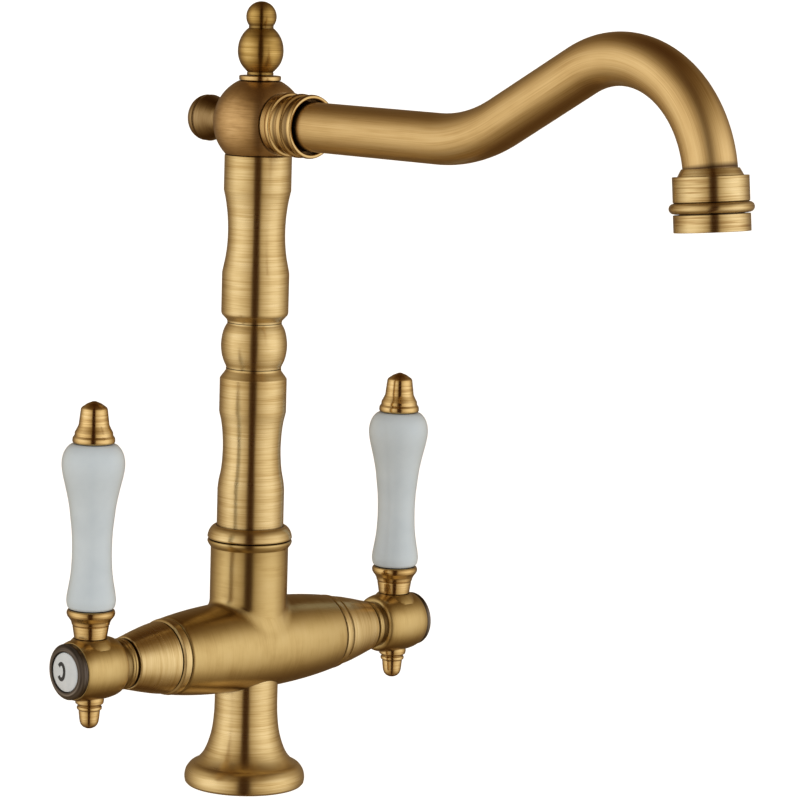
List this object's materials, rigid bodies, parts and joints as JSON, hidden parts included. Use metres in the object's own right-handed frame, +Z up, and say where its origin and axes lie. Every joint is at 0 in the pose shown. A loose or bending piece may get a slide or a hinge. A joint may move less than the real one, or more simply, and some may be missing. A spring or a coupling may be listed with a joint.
{
  "type": "two-handle deck mixer faucet",
  "caption": "Single-hole two-handle mixer faucet with a tall turned column, a swivelling swan-neck spout, porcelain lever handles and a brushed antique brass finish.",
  "frame": {"origin": "centre of the underside, on the deck face", "axes": "+Z up the column; +X along the crossbar from the cold handle (-X) to the hot handle (+X); the spout points along -Y at rest"},
  "size_m": [0.2104, 0.3248, 0.3534],
  "materials": {
    "antique_brass": "brushed antique brass, clear lacquered",
    "plain_brass": "as turned, unplated",
    "blackened_brass": "blackened, satin",
    "porcelain": "white glaze",
    "white_enamel": "white enamelled button with a plain black letter",
    "valve_ceramic": "lapped alumina",
    "seal_rubber": "matte black",
    "bearing_plastic": "natural white acetal",
    "stainless_steel": "plain"
  },
  "bodies": {
    "mixer_body": {"base_seal": "seal_rubber", "body_casting": "antique_brass", "cold_bonnet_sleeve": "antique_brass", "cold_cartridge": "plain_brass", "cold_fixed_disc": "valve_ceramic", "cold_seat_seal": "seal_rubber", "cold_trim_ring": "antique_brass", "hot_bonnet_sleeve": "antique_brass", "hot_cartridge": "plain_brass", "hot_fixed_disc": "valve_ceramic", "hot_seat_seal": "seal_rubber", "hot_trim_ring": "antique_brass", "inlet_block": "plain_brass", "pedestal_base": "antique_brass", "swivel_bush": "bearing_plastic", "swivel_screw": "stainless_steel"},
    "spout_assembly": {"swivel_spigot": "plain_brass", "swivel_o_ring_lower": "seal_rubber", "swivel_o_ring_upper": "seal_rubber", "column_foot_ring": "antique_brass", "column_lower": "antique_brass", "column_bead": "antique_brass", "column_upper": "antique_brass", "riser_tube": "plain_brass", "ball_head": "antique_brass", "rear_knob": "antique_brass", "spout_socket": "antique_brass", "spout_seal": "seal_rubber", "spout_tube": "antique_brass", "finial_disc": "antique_brass", "head_finial": "antique_brass", "aerator_collar": "antique_brass", "aerator_shell": "antique_brass", "aerator_insert": "bearing_plastic", "aerator_screen": "stainless_steel", "aerator_washer": "seal_rubber"},
    "cold_handle": {"cold_hub": "antique_brass", "cold_index_ring": "blackened_brass", "cold_index_disc": "white_enamel", "cold_handle_screw": "stainless_steel", "cold_spindle": "plain_brass", "cold_moving_disc": "valve_ceramic", "cold_lever_ferrule": "antique_brass", "cold_lever_grip": "porcelain", "cold_lever_cap": "antique_brass", "cold_lever_rod": "stainless_steel", "cold_bottom_finial": "antique_brass"},
    "hot_handle": {"hot_hub": "antique_brass", "hot_index_ring": "blackened_brass", "hot_index_disc": "white_enamel", "hot_handle_screw": "stainless_steel", "hot_spindle": "plain_brass", "hot_moving_disc": "valve_ceramic", "hot_lever_ferrule": "antique_brass", "hot_lever_grip": "porcelain", "hot_lever_cap": "antique_brass", "hot_lever_rod": "stainless_steel", "hot_bottom_finial": "antique_brass"}
  },
  "joints": [
    {"name": "spout_swivel", "type": "hinge", "parent": "mixer_body", "child": "spout_assembly", "pos_m": [0, 0, 0.113], "axis": [0, 0, 1], "continuous": true},
    {"name": "cold_quarter_turn", "type": "hinge", "parent": "mixer_body", "child": "cold_handle", "pos_m": [-0.091, 0, 0.0643], "axis": [1, 0, 0], "range_deg": [0, 90]},
    {"name": "hot_quarter_turn", "type": "hinge", "parent": "mixer_body", "child": "hot_handle", "pos_m": [0.091, 0, 0.0643], "axis": [1, 0, 0], "range_deg": [0, 90]}
  ]
}
